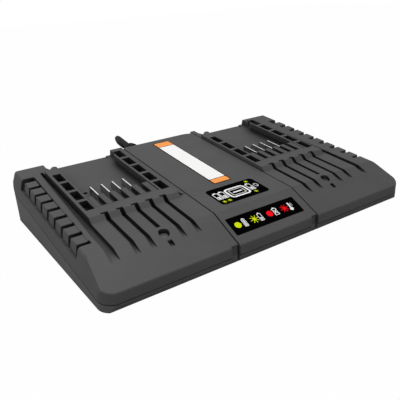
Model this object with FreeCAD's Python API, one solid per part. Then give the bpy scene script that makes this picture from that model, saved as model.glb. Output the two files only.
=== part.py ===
"""Dual-bay battery charger: a centre power unit between two slide-in charging bays.

Millimetres. +X right, +Y back, +Z up; the origin is the middle of the footprint, on the table.
Tops, decks, rails and the parting line all climb towards the back at one slope. Most pieces are
laid out in (x, y, h), where h is the height above the sloping parting plane.
"""
import FreeCAD
import Part
import math
import os

V = FreeCAD.Vector

# Overall size
WIDTH = 262.0            # across the two outer walls
DEPTH = 168.0            # front wall to back wall, at the parting line
CENTRE_WIDTH = 70.8      # centre unit between the two seams
SEAM = 0.4               # gap between neighbouring housings
SLOPE = 0.112            # rise of tops and parting plane per mm of depth
FOOT_DROP = 0.8          # rubber feet below the base
PART_Z0 = 15.3           # parting plane above the table at y = 0
TOP_H = 17.0             # wing, lower deck and centre top above the parting plane
WALL = 2.4               # moulded wall
PARTING_GROOVE = 0.6     # height and depth of the line between cover and base

# Outline of the housings
FRONT_Y = -DEPTH / 2
BACK_Y = DEPTH / 2
OUTER_X = WIDTH / 2
CENTRE_X = CENTRE_WIDTH / 2
CREASE_Y = -56.4         # where the top breaks into the front slope
FRONT_EDGE_Z = 12.8      # top of the upright front face
BACK_TOP_Y = 79.5        # top edge of the back wall, which leans forward
SIDE_LEAN_H = 4.0        # upright part of the side wall above the parting plane
SIDE_LEAN = 0.28         # lean of the side wall above that
BASE_FRONT_TUCK = 2.0    # front of the base steps back to the table
BASE_SIDE_TUCK = 0.6
FRONT_CORNER_R = 10.0
BACK_CORNER_R = 6.0
TOP_EDGE_R = 2.4
FRONT_EDGE_R = 1.5
CENTRE_BACK = ((-CENTRE_X - 1, 76.4), (-2.0, 82.0), (CENTRE_X + 1, 74.6))
NOTCH_W = 6.0            # dark step at the right end of two fronts
NOTCH_DEPTH = 2.0

# Battery bay: a slide bed between two rails, the same in both modules
BAY_PITCH = 145.5        # from the left bay to the right one
RAIL_H = 20.0            # rail tops and upper deck above the parting plane
FLOOR_H = 12.0           # bed that the battery slides over
BAY_X0 = -100.0          # inner face of the left rail
BAY_X1 = -51.7           # inner face of the right rail
RAIL_LEFT_X = -110.0     # outer face of the left rail
RAIL_RIGHT_X = -42.0     # right edge of the right rail's flat top
RAMP_TOP_Y = -22.0       # upper deck falls to the lower deck here
RAMP_FOOT_Y = -25.7
LEFT_RAIL_END_Y = 61.0
RIGHT_RAIL_END_Y = 72.0
BED_BACK_Y = 75.5
LEAD_IN = 5.0            # the bay widens by this at its back end
LEAD_IN_Y = (60.0, 72.5)
CHANNEL_W = 4.5          # groove between a wing and the rail next to it
CHANNEL_H = 13.5         # floor of that groove and of the deck grooves
POCKET_ROWS = ((-106.8, -101.5, 4), (-49.4, -43.9, 5))
POCKET_LENGTH = 12.5
POCKET_PITCH = 16.7
POCKET_FRONT_Y = -12.2
POCKET_H = 15.6
UNDERCUT = 1.0           # slot low in the rails that holds the battery down
UNDERCUT_H = 15.2
POST = (-101.2, 64.5, 2.6)  # round end of the left rail: x, y, radius

# Cooling grooves in the front deck
GROOVE_X = -97.8
GROOVE_PITCH = 11.1
GROOVE_COUNT = 5
GROOVE_W = 3.1
GROOVE_BACK_Y = -20.2
GROOVE_FRONT_Y = -72.0
SHORT_GROOVE = 2
SHORT_GROOVE_Y = -51.5
NOTCH_Y = (-68.0, -64.0)
DECK_SCREW = (-75.7, -58.0)
DECK_SCREW_SINK_R = 3.6
DECK_SCREW_SEAT_H = 11.6
BED_HOLE = (-92.7, 26.2, 1.6)

# Contact comb and blades
COMB_Y = (-12.0, 4.0)
COMB_FLOOR_H = 16.0
SLOT_X = -94.0
SLOT_PITCH = 8.65
SLOT_COUNT = 5
SLOT_W = 4.3
COMB_RIGHT_X = -52.6
SLIT = 0.9
BLADE_COUNT = 4
BLADE_T = 0.8
BLADE_BACK_Y = 24.6
BLADE_ROOT_Y = -6.0
BLADE_TOP_H = 17.7
FIT = 0.15               # clearance round a piece that sits in another
BLADE_NAMES = ("positive", "sense", "data", "negative")

# Finger grips along the outer edges
GRIP_INNER_X = -118.0
GRIP_Y = (-44.4, 62.5)
GRIP_FLOOR_H = 12.4
RIB_BACK_Y = 56.6
RIB_PITCH = 12.7
RIB_GAP = 3.0
RIB_COUNT = 8
RIB_EDGE_R = 1.1
GRIP_TOP_H = 16.75

# Labels and plate on the centre unit, set in shallow recesses
LABEL_T = 0.6
LABEL_SINK = 0.5
LABEL_GAP = 0.1
PLATE = (-9.6, 6.4, -21.5, 71.0, 1.2)
DISPLAY = (-23.2, 17.8, -51.0, -28.6, 2.4)
STATUS = (-32.0, 28.6, -77.0, -63.6, 0.8)

CENTRE_BACK_R = 3.0
LOW_ROOF_H = 9.6         # underside of the roof in the bays
SHOULDER_W = 6.0         # soft step down from the right rail to the seam

LIGHT_X = (-16.0, -5.5, 5.5, 16.0)
LIGHT_Y = -68.0
LIGHT_BOARD_Z = 3.3

# Fasteners, feet and floor vents
FOOT_Y = (-46.0, 46.0)
VENT_Y = -30.0
VENT_PITCH = 7.0
VENT_COUNT = 7
SCREW_R = 1.5
SCREW_HEAD_R = 3.0
SCREW_HEAD_T = 2.0
BOSS_R = 4.2
PILLAR_H = 10.0
BASE_SCREW_SEAT = 5.0    # below the parting plane
BASE_SCREW_REACH = 7.0   # above the parting plane
BASE_SCREW_Y = (-64.0, 66.0)
FOOT_R = 5.5

# Cord: strain relief, lead down to the table, put-away coil, plug
CORD_D = 4.5
RELIEF_ROOT = (-22.6, 80.0, 35.6)
RELIEF_R = (4.0, 2.9)
RELIEF_RINGS = 5
LEAD_ROUTE = [
    (-21.4, 101.0, 36.6), (-20.2, 110.0, 36.7), (-18.0, 120.5, 36.3), (-15.0, 131.5, 34.7),
    (-11.3, 142.0, 31.3), (-6.6, 151.5, 26.0), (-0.6, 160.0, 19.4), (7.2, 165.6, 12.9),
    (16.6, 168.6, 7.9), (26.4, 168.0, 4.7), (34.6, 166.4, 3.4),
]
COIL_CENTRE = (46.0, 127.5)
COIL_BOTTOM = 3.1        # middle of the lower layer above the table
COIL_PITCH = 4.95        # from turn to turn, and from layer to layer
COIL_MIN_R = 13.4
COIL_TURNS = 10.14
COIL_STEPS = 40          # about a quarter turn each
COIL_TAIL = 13.0         # straight cord between the coil and the plug
TIE_T = 0.6
TIE_W = 7.0
TIE_DEG = 215.0          # clockwise from +Y, seen from above
TIE_GAP = 0.15
PLUG_LENGTH = 34.0
PLUG_WIDTH = 27.0
PLUG_THICKNESS = 15.4
PLUG_NECK = 14.0
PIN_R = 2.0
PIN_LENGTH = 19.0
PIN_SPACING = 18.6

# Electronics
BOARD_T = 1.6
MAIN_BOARD = (-29.0, 29.0, -44.0, 56.0, 9.2)
BAY_BOARD_Y = (-26.0, 30.0)
BAY_BOARD_H = 4.6

HIGH = 80.0
TOP_AT_CREASE = PART_Z0 + SLOPE * CREASE_Y + TOP_H
FRONT_SLOPE = (TOP_AT_CREASE - FRONT_EDGE_Z) / (CREASE_Y - FRONT_Y)


# Shapes that follow the slope
def rise(y):
    """Height of the parting plane at y."""
    return PART_Z0 + SLOPE * y


def slope_z(y):
    """Height of the front slope at y."""
    return FRONT_EDGE_Z + FRONT_SLOPE * (y - FRONT_Y)


def prism(points, along):
    return Part.Face(Part.makePolygon(points + points[:1])).extrude(along)


def bar(outline, y0, y1):
    """Prism of an (x, h) outline that follows the slope from y0 to y1."""
    return prism([V(x, y0, rise(y0) + h) for x, h in outline], V(0, y1 - y0, SLOPE * (y1 - y0)))


def block(x0, x1, y0, y1, h0, h1):
    return bar([(x0, h0), (x1, h0), (x1, h1), (x0, h1)], y0, y1)


def wedge(outline, h0, h1):
    """Prism of an (x, y) outline between two heights above the parting plane."""
    flat = prism([V(x, y, -HIGH) for x, y in outline], V(0, 0, 3 * HIGH))
    return flat.common(block(-2 * WIDTH, 2 * WIDTH, -2 * DEPTH, 2 * DEPTH, h0, h1))


def across(outline, x0, x1):
    """Prism of a (y, z) outline from x0 to x1."""
    return prism([V(x0, y, z) for y, z in outline], V(x1 - x0, 0, 0))


def box(x0, x1, y0, y1, z0, z1):
    return Part.makeBox(x1 - x0, y1 - y0, z1 - z0, V(x0, y0, z0))


def post(x, y, z0, z1, radius):
    return Part.makeCylinder(radius, z1 - z0, V(x, y, z0))


def joined(shapes):
    return shapes[0].multiFuse(shapes[1:]).removeSplitter()


def cut(solid, tools):
    return solid.cut(Part.makeCompound(tools)).removeSplitter()


def upright_edges(solid, x=None, y=None):
    """Vertical edges of a solid, at x or y where given."""
    found = []
    for edge in solid.Edges:
        a, b = edge.Vertexes[0].Point, edge.Vertexes[-1].Point
        if abs(a.x - b.x) + abs(a.y - b.y) > 0.01 or abs(a.z - b.z) < 0.01:
            continue
        if (x is None or abs(a.x - x) < 0.05) and (y is None or abs(a.y - y) < 0.05):
            found.append(edge)
    return found


def rounded_box(x0, x1, y0, y1, z0, z1, radius):
    solid = box(x0, x1, y0, y1, z0, z1)
    return solid.makeFillet(radius, upright_edges(solid))


# Housings
def plan(x0, x1, inset=0.0):
    """Footprint between two seams, with the charger's outer corners rounded."""
    front, back = FRONT_Y + inset, BACK_Y - inset
    solid = box(-OUTER_X + inset, OUTER_X - inset, front, back, -1, HIGH)
    solid = solid.makeFillet(FRONT_CORNER_R - inset, upright_edges(solid, y=front))
    solid = solid.makeFillet(BACK_CORNER_R - inset, upright_edges(solid, y=back))
    solid = solid.common(box(x0, x1, 2 * FRONT_Y, 2 * BACK_Y, -1, HIGH))
    return solid.common(crowned_back(inset)) if max(-x0, x1) <= CENTRE_X else solid


def crowned_back(inset):
    """Everything in front of the centre unit's bowed back wall."""
    left, middle, right = [V(x, y - inset, -1) for x, y in CENTRE_BACK]
    corners = [right, V(right.x, 2 * FRONT_Y, -1), V(left.x, 2 * FRONT_Y, -1), left]
    edges = [Part.Arc(left, middle, right).toShape()]
    edges += [Part.makeLine(a, b) for a, b in zip(corners, corners[1:])]
    return Part.Face(Part.Wire(edges)).extrude(V(0, 0, HIGH + 1))


def upper_body(x0, x1, roof, inset=0.0):
    """Solid above the parting plane between two x, with the front slope and leaning back."""
    drop = inset * math.hypot(1, FRONT_SLOPE)
    front, back, top_back = FRONT_Y + inset, BACK_Y - inset, BACK_TOP_Y - inset
    crease = (rise(0) + roof - slope_z(0) + drop) / (FRONT_SLOPE - SLOPE)
    side = [
        (front, rise(front)), (front, slope_z(front) - drop), (crease, rise(crease) + roof),
        (top_back, rise(top_back) + roof), (back, rise(back)),
    ]
    return across(side, x0, x1).common(plan(x0, x1, inset))


def leaning_wall(side, roof, inset=0.0):
    """Space inside a side module's outer wall, which leans in above its foot."""
    wall = OUTER_X - inset
    lean = SIDE_LEAN * (roof - SIDE_LEAN_H)
    section = [(wall, -1), (wall, SIDE_LEAN_H), (wall - lean, roof), (0, roof), (0, -1)]
    return bar([(side * x, h) for x, h in section], FRONT_Y - 5, BACK_Y + 5)


def screw_places(name):
    """Where screws come up from below: four to each housing."""
    xs = {"left": (-122.0, -44.5), "centre": (-24.0, 24.0), "right": (44.5, 122.0)}[name]
    return [(x, y) for x in xs for y in BASE_SCREW_Y]


def with_pillars(cover, name):
    """Adds the pillars under the roof that take the base screws."""
    low = across([(y, rise(y) + d) for y, d in ((-200, -60), (-200, 0), (200, 0), (200, -60))], -200, 200)
    places = screw_places(name)
    height = TOP_H - 1.0 if name == "centre" else PILLAR_H
    under_roof = upper_body(-OUTER_X, OUTER_X, TOP_H, 1.0)
    pillars = [post(x, y, 0, rise(y) + height, BOSS_R).common(under_roof) for x, y in places]
    cover = joined([cover] + pillars)
    holes = [post(x, y, 0, rise(y) + BASE_SCREW_REACH + 0.5, SCREW_R + 0.1) for x, y in places]
    return cut(cover, holes + [low])


def front_notch(seam_x):
    return box(seam_x - NOTCH_W, seam_x, FRONT_Y - 1, FRONT_Y + NOTCH_DEPTH, -1, FRONT_EDGE_Z + 0.4)


def grip(side):
    """Ribbed finger grip: the recess to cut from a wing, and the ribs that stand in it."""
    front, back = GRIP_Y
    inner = [(GRIP_INNER_X - 1.5, front), (GRIP_INNER_X, back), (-OUTER_X - 1, back), (-OUTER_X - 1, front)]
    space = wedge(inner, GRIP_FLOOR_H, HIGH)
    space = space.makeFillet(2.5, upright_edges(space, y=front) + upright_edges(space, y=back))
    ribs = []
    for i in range(RIB_COUNT):
        y1 = RIB_BACK_Y - i * RIB_PITCH
        y0 = y1 - (RIB_PITCH - RIB_GAP)
        rib = block(-OUTER_X, GRIP_INNER_X - 1.0, y0, y1, GRIP_FLOOR_H - 0.5, GRIP_TOP_H)
        rib = rib.common(leaning_wall(-1, GRIP_TOP_H))
        top = max(rib.Faces, key=lambda f: f.CenterOfMass.z)
        ribs.append(rib.makeFillet(RIB_EDGE_R, [e for e in top.Edges if e.CenterOfMass.x < GRIP_INNER_X - 1.2]))
    shape = Part.makeCompound([space] + ribs)
    if side > 0:
        shape = shape.mirror(V(0, 0, 0), V(1, 0, 0))
    return shape.Solids[0], shape.Solids[1:]


def shifted(shapes, dx):
    return [shape.translated(V(dx, 0, 0)) for shape in shapes]


def bay_cuts():
    """Everything cut from a side module's roof for the left bay."""
    lead_in = [
        [(edge, LEAD_IN_Y[0]), (edge + way * LEAD_IN, LEAD_IN_Y[1]), (edge + way * LEAD_IN, BACK_Y + 9),
         (edge, BACK_Y + 9)] for edge, way in ((BAY_X0, -1), (BAY_X1, 1))]
    cuts = [
        block(BAY_X0, BAY_X1, COMB_Y[0], BACK_Y + 9, FLOOR_H, HIGH),
        block(BAY_X0 - UNDERCUT, BAY_X1 + UNDERCUT, COMB_Y[1] + 1, BACK_Y + 9, FLOOR_H, UNDERCUT_H),
        block(BAY_X0, COMB_RIGHT_X + SLIT, COMB_Y[0], COMB_Y[1], -5, HIGH),
        post(DECK_SCREW[0], DECK_SCREW[1], -1, HIGH, SCREW_R + 0.1),
        post(DECK_SCREW[0], DECK_SCREW[1], rise(DECK_SCREW[1]) + DECK_SCREW_SEAT_H, HIGH, DECK_SCREW_SINK_R),
        post(BED_HOLE[0], BED_HOLE[1], rise(BED_HOLE[1]), HIGH, BED_HOLE[2]),
    ]
    cuts += [wedge(outline, FLOOR_H, HIGH) for outline in lead_in]
    for x0, x1, count in POCKET_ROWS:
        for i in range(count):
            y0 = POCKET_FRONT_Y + i * POCKET_PITCH
            cuts.append(block(x0, x1, y0, y0 + POCKET_LENGTH, POCKET_H, HIGH))
    for i in range(GROOVE_COUNT):
        x = GROOVE_X + i * GROOVE_PITCH
        front = SHORT_GROOVE_Y if i == SHORT_GROOVE else GROOVE_FRONT_Y
        cuts.append(block(x - GROOVE_W / 2, x + GROOVE_W / 2, front, GROOVE_BACK_Y, CHANNEL_H, HIGH))
    cuts.append(block(GROOVE_X + SHORT_GROOVE * GROOVE_PITCH - GROOVE_W / 2,
                      GROOVE_X + SHORT_GROOVE * GROOVE_PITCH + GROOVE_W / 2, *NOTCH_Y, CHANNEL_H, HIGH))
    return cuts


def channel(name):
    """Groove between the wing and the rail beside it, open on the front slope."""
    if name == "left":
        foot = RAIL_LEFT_X
        edge = foot - CHANNEL_W
        wing = [(edge - 1.3, -90), (edge - 1.3, -40), (edge, 0), (edge + 2.3, 66)]
    else:
        foot = RAIL_RIGHT_X + BAY_PITCH + 2.5
        wing = [(foot + CHANNEL_W, -90), (foot + CHANNEL_W, -20), (foot + CHANNEL_W - 1.5, 66)]
    return wedge(wing + [(foot, 66), (foot, -90)], CHANNEL_H, HIGH)


def rails(dx, x0, x1):
    """Upper deck and rails, three millimetres above the wings, with the ramp down to the front deck."""
    left, right = max(RAIL_LEFT_X + dx, x0), RAIL_RIGHT_X + dx
    bay0, bay1 = BAY_X0 + dx, BAY_X1 + dx
    outline = [
        (left, RAMP_FOOT_Y), (left, LEFT_RAIL_END_Y), (bay0, LEFT_RAIL_END_Y + 3), (bay0, BED_BACK_Y),
        (bay1, BED_BACK_Y), (bay1, RIGHT_RAIL_END_Y), (right, RIGHT_RAIL_END_Y), (right, RAMP_FOOT_Y)]
    solid = wedge(outline, TOP_H - 2, RAIL_H)
    ramp = [(RAMP_FOOT_Y, TOP_H), (RAMP_TOP_Y, RAIL_H), (RAMP_TOP_Y, HIGH), (-HIGH, HIGH), (-HIGH, TOP_H)]
    solid = solid.cut(across([(y, rise(y) + h) for y, h in ramp], -200, 200))
    edge = [(right - 0.01, TOP_H - 2), (right - 0.01, RAIL_H)]
    for i in range(1, 6):
        t = i / 5
        edge.append((right + SHOULDER_W * t, TOP_H + (RAIL_H - TOP_H) * (1 - t) ** 2))
    edge.append((right + SHOULDER_W, TOP_H - 2))
    shoulder = bar(edge, RAMP_TOP_Y, RIGHT_RAIL_END_Y)
    return [solid, shoulder.common(box(x0, x1, -200, 200, 0, HIGH))]


def hollow(name, dx, x0, x1):
    """Space under a side module's roof."""
    side = -1 if name == "left" else 1
    low = upper_body(x0 + WALL, x1 - WALL, LOW_ROOF_H, WALL).common(leaning_wall(side, LOW_ROOF_H, WALL))
    deck_roof = CHANNEL_H - WALL + 0.4
    deck = block(BAY_X0 + dx, BAY_X1 + dx, CREASE_Y + 8, COMB_Y[0] - WALL, LOW_ROOF_H - 1, deck_roof)
    return low.fuse(deck)


def side_cover(name):
    """Upper housing of a side module: wing, bay between two rails, front deck."""
    side = -1 if name == "left" else 1
    dx = 0.0 if name == "left" else BAY_PITCH
    x0, x1 = sorted((side * OUTER_X, side * (CENTRE_X + SEAM)))
    body = upper_body(x0, x1, TOP_H).common(leaning_wall(side, TOP_H))
    wall_top = side * (OUTER_X - SIDE_LEAN * (TOP_H - SIDE_LEAN_H))
    top_edges = [e for e in body.Edges if abs(abs(e.CenterOfMass.x) - abs(wall_top)) < 0.6
                 and e.Length > 60 and e.CenterOfMass.z > rise(0) + 5]
    if top_edges:
        body = body.makeFillet(TOP_EDGE_R, top_edges)
    body = round_front(body)
    space, ribs = grip(side)
    body = cut(body, [space])
    knob_z = rise(POST[1])
    knob = post(POST[0] + dx, POST[1], knob_z + FLOOR_H - 0.5, knob_z + RAIL_H, POST[2])
    knob = round_topped(knob, 1.4)
    body = joined([body] + rails(dx, x0, x1) + ribs)
    body = cut(body, shifted(bay_cuts(), dx) + [channel(name)])
    body = cut(body, [block(BAY_X0 + dx - 1, BAY_X1 + dx + 1, BED_BACK_Y, BACK_Y + 5, FLOOR_H - 1.0, HIGH)])
    body = body.cut(hollow(name, dx, x0, x1))
    screw_x, screw_y = DECK_SCREW[0] + dx, DECK_SCREW[1]
    deck_post = post(screw_x, screw_y, rise(screw_y), rise(screw_y) + DECK_SCREW_SEAT_H, BOSS_R)
    deck_post = deck_post.cut(post(screw_x, screw_y, 0, HIGH, SCREW_R + 0.1))
    board_posts = [post(x, y, rise(y) + BAY_BOARD_H + BOARD_T + 0.3, rise(y) + FLOOR_H - 0.2, 2.4).cut(
        post(x, y, 0, rise(y) + LOW_ROOF_H, 1.15)) for x, y in bay_screw_places(dx)]
    body = joined([body, deck_post, knob] + board_posts)
    if name == "left":
        body = body.cut(front_notch(x1))
    return with_pillars(body, name)


def round_front(body):
    """Softens the edge between the front slope and the upright front."""
    edges = [e for e in body.Edges if e.CenterOfMass.y < FRONT_Y + FRONT_CORNER_R and e.BoundBox.XLength > 3
             and abs(e.Vertexes[0].Point.z - slope_z(e.Vertexes[0].Point.y)) < 0.05
             and abs(e.Vertexes[-1].Point.z - slope_z(e.Vertexes[-1].Point.y)) < 0.05]
    return body.makeFillet(FRONT_EDGE_R, edges)


def recess(spec):
    """Shallow seat for a label or plate in the centre unit's top or front slope."""
    x0, x1, y0, y1, radius = spec
    return label_slab(x0 - LABEL_GAP, x1 + LABEL_GAP, y0 - LABEL_GAP, y1 + LABEL_GAP, radius + LABEL_GAP,
                      -LABEL_SINK, 3.0)


def label_slab(x0, x1, y0, y1, radius, low, high):
    """Rounded slab parallel to the top, or to the front slope where it lies in front of the crease."""
    pillar = rounded_box(x0, x1, y0, y1, -1, HIGH, radius)
    surface = slope_z if y1 < CREASE_Y else (lambda y: rise(y) + TOP_H)
    side = [(-100, surface(-100) + low), (100, surface(100) + low), (100, surface(100) + high),
            (-100, surface(-100) + high)]
    return pillar.common(across(side, -200, 200))


def label(spec):
    return label_slab(*spec, -LABEL_SINK, LABEL_T - LABEL_SINK)


def centre_cover():
    x0, x1 = -CENTRE_X, CENTRE_X
    body = upper_body(x0, x1, TOP_H)
    back_top = [e for e in body.Edges if e.CenterOfMass.y > 70 and e.CenterOfMass.z > rise(70) + TOP_H - 3
                and e.BoundBox.XLength > 30]
    body = round_front(body.makeFillet(CENTRE_BACK_R, back_top))
    body = body.cut(upper_body(x0 + WALL, x1 - WALL, TOP_H - WALL, WALL))
    body = cut(body, [recess(spec) for spec in (PLATE, DISPLAY, STATUS)] + [front_notch(x1)])
    body = body.cut(post_along(RELIEF_ROOT, LEAD_ROUTE[0], -9, 12, RELIEF_R[0] + 0.1))
    return with_pillars(body, "centre")


def base_shell(name):
    """Lower housing: floor, walls and the towers that carry the screws."""
    x0, x1 = {"left": (-OUTER_X, -CENTRE_X - SEAM), "centre": (-CENTRE_X, CENTRE_X),
              "right": (CENTRE_X + SEAM, OUTER_X)}[name]
    outer = base_block(x0, x1, 0.0, FOOT_DROP)
    inner = base_block(x0 + WALL, x1 - WALL, WALL, FOOT_DROP + WALL)
    shell = outer.cut(inner)
    towers = [post(x, y, FOOT_DROP, rise(y), BOSS_R) for x, y in screw_places(name)]
    if name == "centre":
        towers += [post(x, y, FOOT_DROP, MAIN_BOARD[4], 3.0) for x, y in board_screw_places()]
    shell = joined([shell] + towers)
    holes = []
    for x, y in screw_places(name):
        seat = rise(y) - BASE_SCREW_SEAT
        holes += [post(x, y, -1, seat, SCREW_HEAD_R + 0.3), post(x, y, -1, HIGH, SCREW_R + 0.2)]
    if name == "centre":
        holes += [post(x, y, FOOT_DROP + WALL, HIGH, 1.1) for x, y in board_screw_places()]
    holes += [vent for vent in base_vents(name)]
    if name != "right":
        holes.append(front_notch(x1))
    line = block(x0 - 9, x1 + 9, 2 * FRONT_Y, 2 * BACK_Y, -PARTING_GROOVE, 1)
    holes.append(line.cut(plan(x0, x1, PARTING_GROOVE)))
    holes.append(block(x0, x1, 2 * FRONT_Y, 2 * BACK_Y, 0, HIGH))
    return cut(shell, holes)


def base_block(x0, x1, inset, z0):
    side = [(FRONT_Y + BASE_FRONT_TUCK + inset, z0), (FRONT_Y + inset, rise(FRONT_Y + inset)),
            (BACK_Y - inset, rise(BACK_Y - inset)), (BACK_Y - inset - BASE_SIDE_TUCK, z0)]
    return across(side, x0, x1).common(plan(x0, x1, inset))


def base_vents(name):
    """Row of slots through the floor under the electronics."""
    middle = {"left": -83.0, "centre": 0.0, "right": 83.0}[name]
    return [box(middle - 12, middle + 12, y - 1, y + 1, -1, FOOT_DROP + WALL + 0.1)
            for y in [VENT_Y + VENT_PITCH * i for i in range(VENT_COUNT)]]


# Contacts
def contact_holder(dx):
    """Comb that carries the blades, clamped up under the roof by its flange."""
    front, back = COMB_Y[0] + FIT, COMB_Y[1]
    body = block(BAY_X0 + FIT, COMB_RIGHT_X, front, back, BAY_BOARD_H + BOARD_T, RAIL_H)
    flange = block(BAY_X0 - 1.5, COMB_RIGHT_X + 2.5, front - 2, back + 2, BAY_BOARD_H + BOARD_T, LOW_ROOF_H)
    body = body.fuse(flange)
    cuts = []
    for i in range(SLOT_COUNT):
        x = SLOT_X + i * SLOT_PITCH
        cuts.append(block(x - SLOT_W / 2, x + SLOT_W / 2, COMB_Y[0] + 0.9, back + 1, COMB_FLOOR_H, HIGH))
    cuts += [contact_blade(i, 0.0) for i in range(BLADE_COUNT)]
    return cut(body, cuts).translated(V(dx, 0, 0))


def contact_blade(i, dx):
    """Flat blade that stands in the bay, with a tail down to the bay's board."""
    x = SLOT_X + SLOT_PITCH * (i + 0.5)
    outline = [
        (BLADE_ROOT_Y, BAY_BOARD_H - 1.2), (BLADE_ROOT_Y, BLADE_TOP_H), (BLADE_BACK_Y - 2, BLADE_TOP_H),
        (BLADE_BACK_Y, BLADE_TOP_H - 2), (BLADE_BACK_Y, FLOOR_H + 0.1), (COMB_Y[1] - 1, FLOOR_H + 0.1),
        (COMB_Y[1] - 1, BAY_BOARD_H + BOARD_T + 1), (BLADE_ROOT_Y + 2.5, BAY_BOARD_H + BOARD_T + 1),
        (BLADE_ROOT_Y + 2.5, BAY_BOARD_H - 1.2)]
    return across([(y, rise(y) + h) for y, h in outline], x - BLADE_T / 2 + dx, x + BLADE_T / 2 + dx)


def bay_board(dx):
    """Board under the holder, with a slot for each blade's tail."""
    solid = block(BAY_X0 - 1.5, COMB_RIGHT_X + 2.5, *BAY_BOARD_Y, BAY_BOARD_H, BAY_BOARD_H + BOARD_T)
    tails = []
    for i in range(BLADE_COUNT):
        x = SLOT_X + SLOT_PITCH * (i + 0.5)
        tails.append(block(x - 0.4, x + 0.4, BLADE_ROOT_Y, BLADE_ROOT_Y + 2.5, 0, 9))
    posts = [post(x, y, rise(y), rise(y) + 9, 1.2) for x, y in bay_screw_places(0.0)]
    return cut(solid, tails + posts).translated(V(dx, 0, 0))


def bay_parts(dx):
    """Capacitor, driver and plug header hanging under the bay board."""
    under = BAY_BOARD_H
    return Part.makeCompound([
        block(BAY_X0 + dx + 8, BAY_X0 + dx + 20, 12, 26, under - 3.5, under),
        block(BAY_X0 + dx + 26, BAY_X0 + dx + 36, 14, 24, under - 2.0, under),
        block(BAY_X1 + dx - 17, BAY_X1 + dx - 7, -22, -14, under - 4.0, under),
    ])


def bay_screw_places(dx):
    return [(BAY_X0 + dx + 2.5, BAY_BOARD_Y[1] - 4), (BAY_X1 + dx - 2.5, BAY_BOARD_Y[1] - 4),
            (BAY_X0 + dx + 2.5, BAY_BOARD_Y[0] + 4), (BAY_X1 + dx - 2.5, BAY_BOARD_Y[0] + 4)]


# Screws and feet
def screw_up(x, y, seat, length, radius=SCREW_R, head=SCREW_HEAD_R):
    """Pan-head screw with its head below the seat and its shank above it."""
    cap = post(x, y, seat - SCREW_HEAD_T, seat, head)
    low = seat - SCREW_HEAD_T
    slot = [box(x - a, x + a, y - b, y + b, low - 1, low + 0.9) for a, b in ((0.35, 1.6), (1.6, 0.35))]
    return cut(cap.fuse(post(x, y, seat - 0.2, seat + length, radius)), slot)


def screw_down(x, y, seat, length, radius=SCREW_R, head=SCREW_HEAD_R):
    solid = screw_up(0, 0, 0, length, radius, head)
    solid.rotate(V(0, 0, 0), V(1, 0, 0), 180)
    return solid.translated(V(x, y, seat))


def base_screws(name):
    return Part.makeCompound([
        screw_up(x, y, rise(y) - BASE_SCREW_SEAT, BASE_SCREW_SEAT + BASE_SCREW_REACH)
        for x, y in screw_places(name)])


def feet(name):
    middle = {"left": (-119.0, -48.0), "centre": (-22.0, 22.0), "right": (48.0, 119.0)}[name]
    return Part.makeCompound([post(x, y, 0, FOOT_DROP, FOOT_R) for x in middle for y in FOOT_Y])


def board_screw_places():
    x0, x1, y0, y1, _ = MAIN_BOARD
    return [(x, y) for x in (x0 + 4, x1 - 4) for y in (y0 + 5, y1 - 5)]


# Electronics of the centre unit, standing on the main board
def main_board():
    x0, x1, y0, y1, z = MAIN_BOARD
    return cut(box(x0, x1, y0, y1, z, z + BOARD_T), [post(x, y, 0, HIGH, 1.5) for x, y in board_screw_places()])


def electronics():
    z = MAIN_BOARD[4] + BOARD_T
    ring = post(-17, -2, z, z + 8, 8).cut(post(-17, -2, z, z + 8, 3.5))
    core = box(-13, 13, 10, 40, z + 3, z + 17)
    core = core.fuse(box(-10, 10, 6, 44, z + 6, z + 14)).fuse(box(-9, 9, 8, 42, z, z + 4))
    sink = [box(-20, 14, 49.5, 51.5, z, z + 17)]
    sink += [box(x, x + 1.2, 45.5, 50, z, z + 17) for x in range(-20, 14, 5)]
    plates = [rounded_box(14, 28, 15, 19, z, z + 12, 0.6), rounded_box(14, 28, 24, 28, z, z + 12, 0.6)]
    return {
        "transformer": core.removeSplitter(),
        "bulk_capacitor": round_topped(post(17, -8, z, z + 12, 8.5), 1.0),
        "choke": ring,
        "heatsink": joined(sink),
        "film_capacitors": Part.makeCompound(plates),
        "fuse": Part.makeCylinder(2.6, 20, V(-26, 7, z + 2.6), V(0, 1, 0)),
        "output_capacitors": Part.makeCompound([post(x, -24, z, z + 9, 4) for x in (-20, -10)]),
        "transistors": Part.makeCompound([box(x, x + 10, 51.5, 55.5, z, z + 15) for x in (-17, 0)]),
        "control_chip": box(-5, 5, -22, -12, z, z + 1.8),
        "output_sockets": Part.makeCompound([box(x, x + 9, -38, -31, z, z + 7) for x in (-14, 6)]),
    }


def round_topped(solid, radius):
    return solid.makeFillet(radius, [max(solid.Edges, key=lambda e: e.CenterOfMass.z)])


def light_pipes():
    """Clear rods from a small board up to the labels' lights."""
    rods = []
    for x in LIGHT_X:
        rods.append(post(x, LIGHT_Y, LIGHT_BOARD_Z + BOARD_T, slope_z(LIGHT_Y) - LABEL_SINK - WALL, 1.5))
    return Part.makeCompound(rods)


def light_board():
    x0, x1 = LIGHT_X[0] - 3, LIGHT_X[-1] + 3
    return box(x0, x1, LIGHT_Y - 4, LIGHT_Y + 4, LIGHT_BOARD_Z, LIGHT_BOARD_Z + BOARD_T)


# Cord
def post_along(start, toward, before, after, radius):
    way = V(*toward) - V(*start)
    way.normalize()
    return Part.makeCylinder(radius, after - before, V(*start) + way * before, way)


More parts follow.
